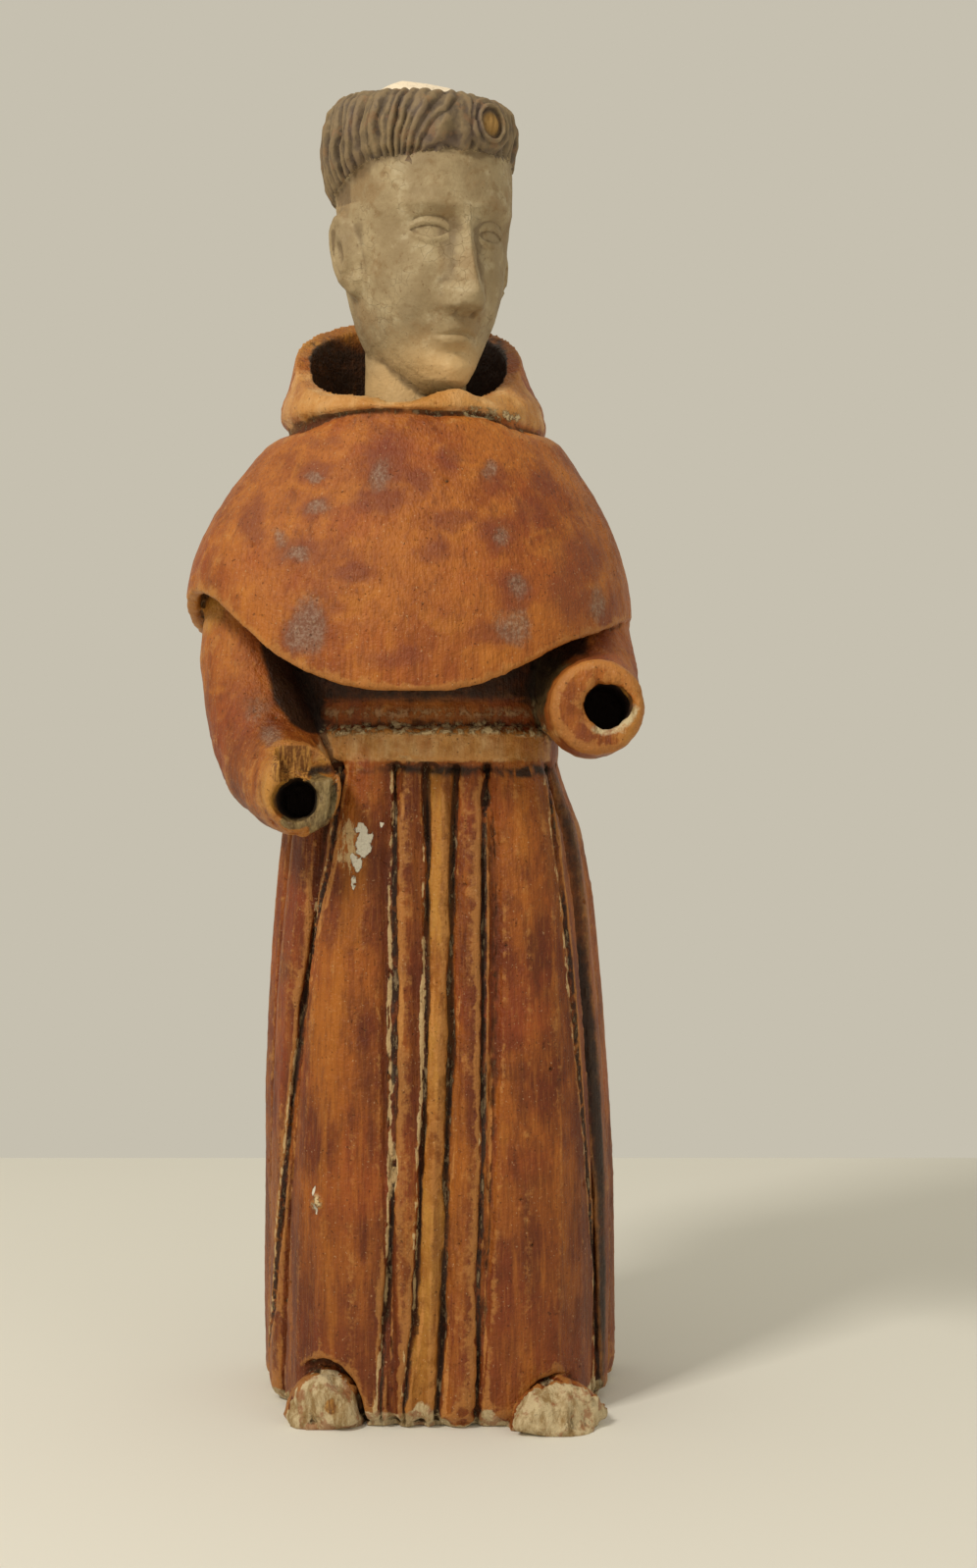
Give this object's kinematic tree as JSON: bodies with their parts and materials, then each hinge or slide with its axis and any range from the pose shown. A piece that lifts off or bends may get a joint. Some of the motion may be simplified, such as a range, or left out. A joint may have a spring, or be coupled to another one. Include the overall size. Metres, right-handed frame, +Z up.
{
  "type": "wooden saint statue",
  "caption": "Standing carved and painted wooden friar saint in habit, shoulder cape and hood, tonsured, with open sleeve sockets for lost hands.",
  "frame": {"origin": "on the flat underside, midway between the sides of the skirt", "axes": "+Z up, the figure faces -Y, and +X is towards the figure's left hand"},
  "size_m": [0.1706, 0.1501, 0.5],
  "materials": {
    "painted_wood": "worn oil paint over gesso on carved wood, satin, with bare and chipped places"
  },
  "bodies": {
    "root": {"carved_figure": "painted_wood"}
  },
  "joints": []
}
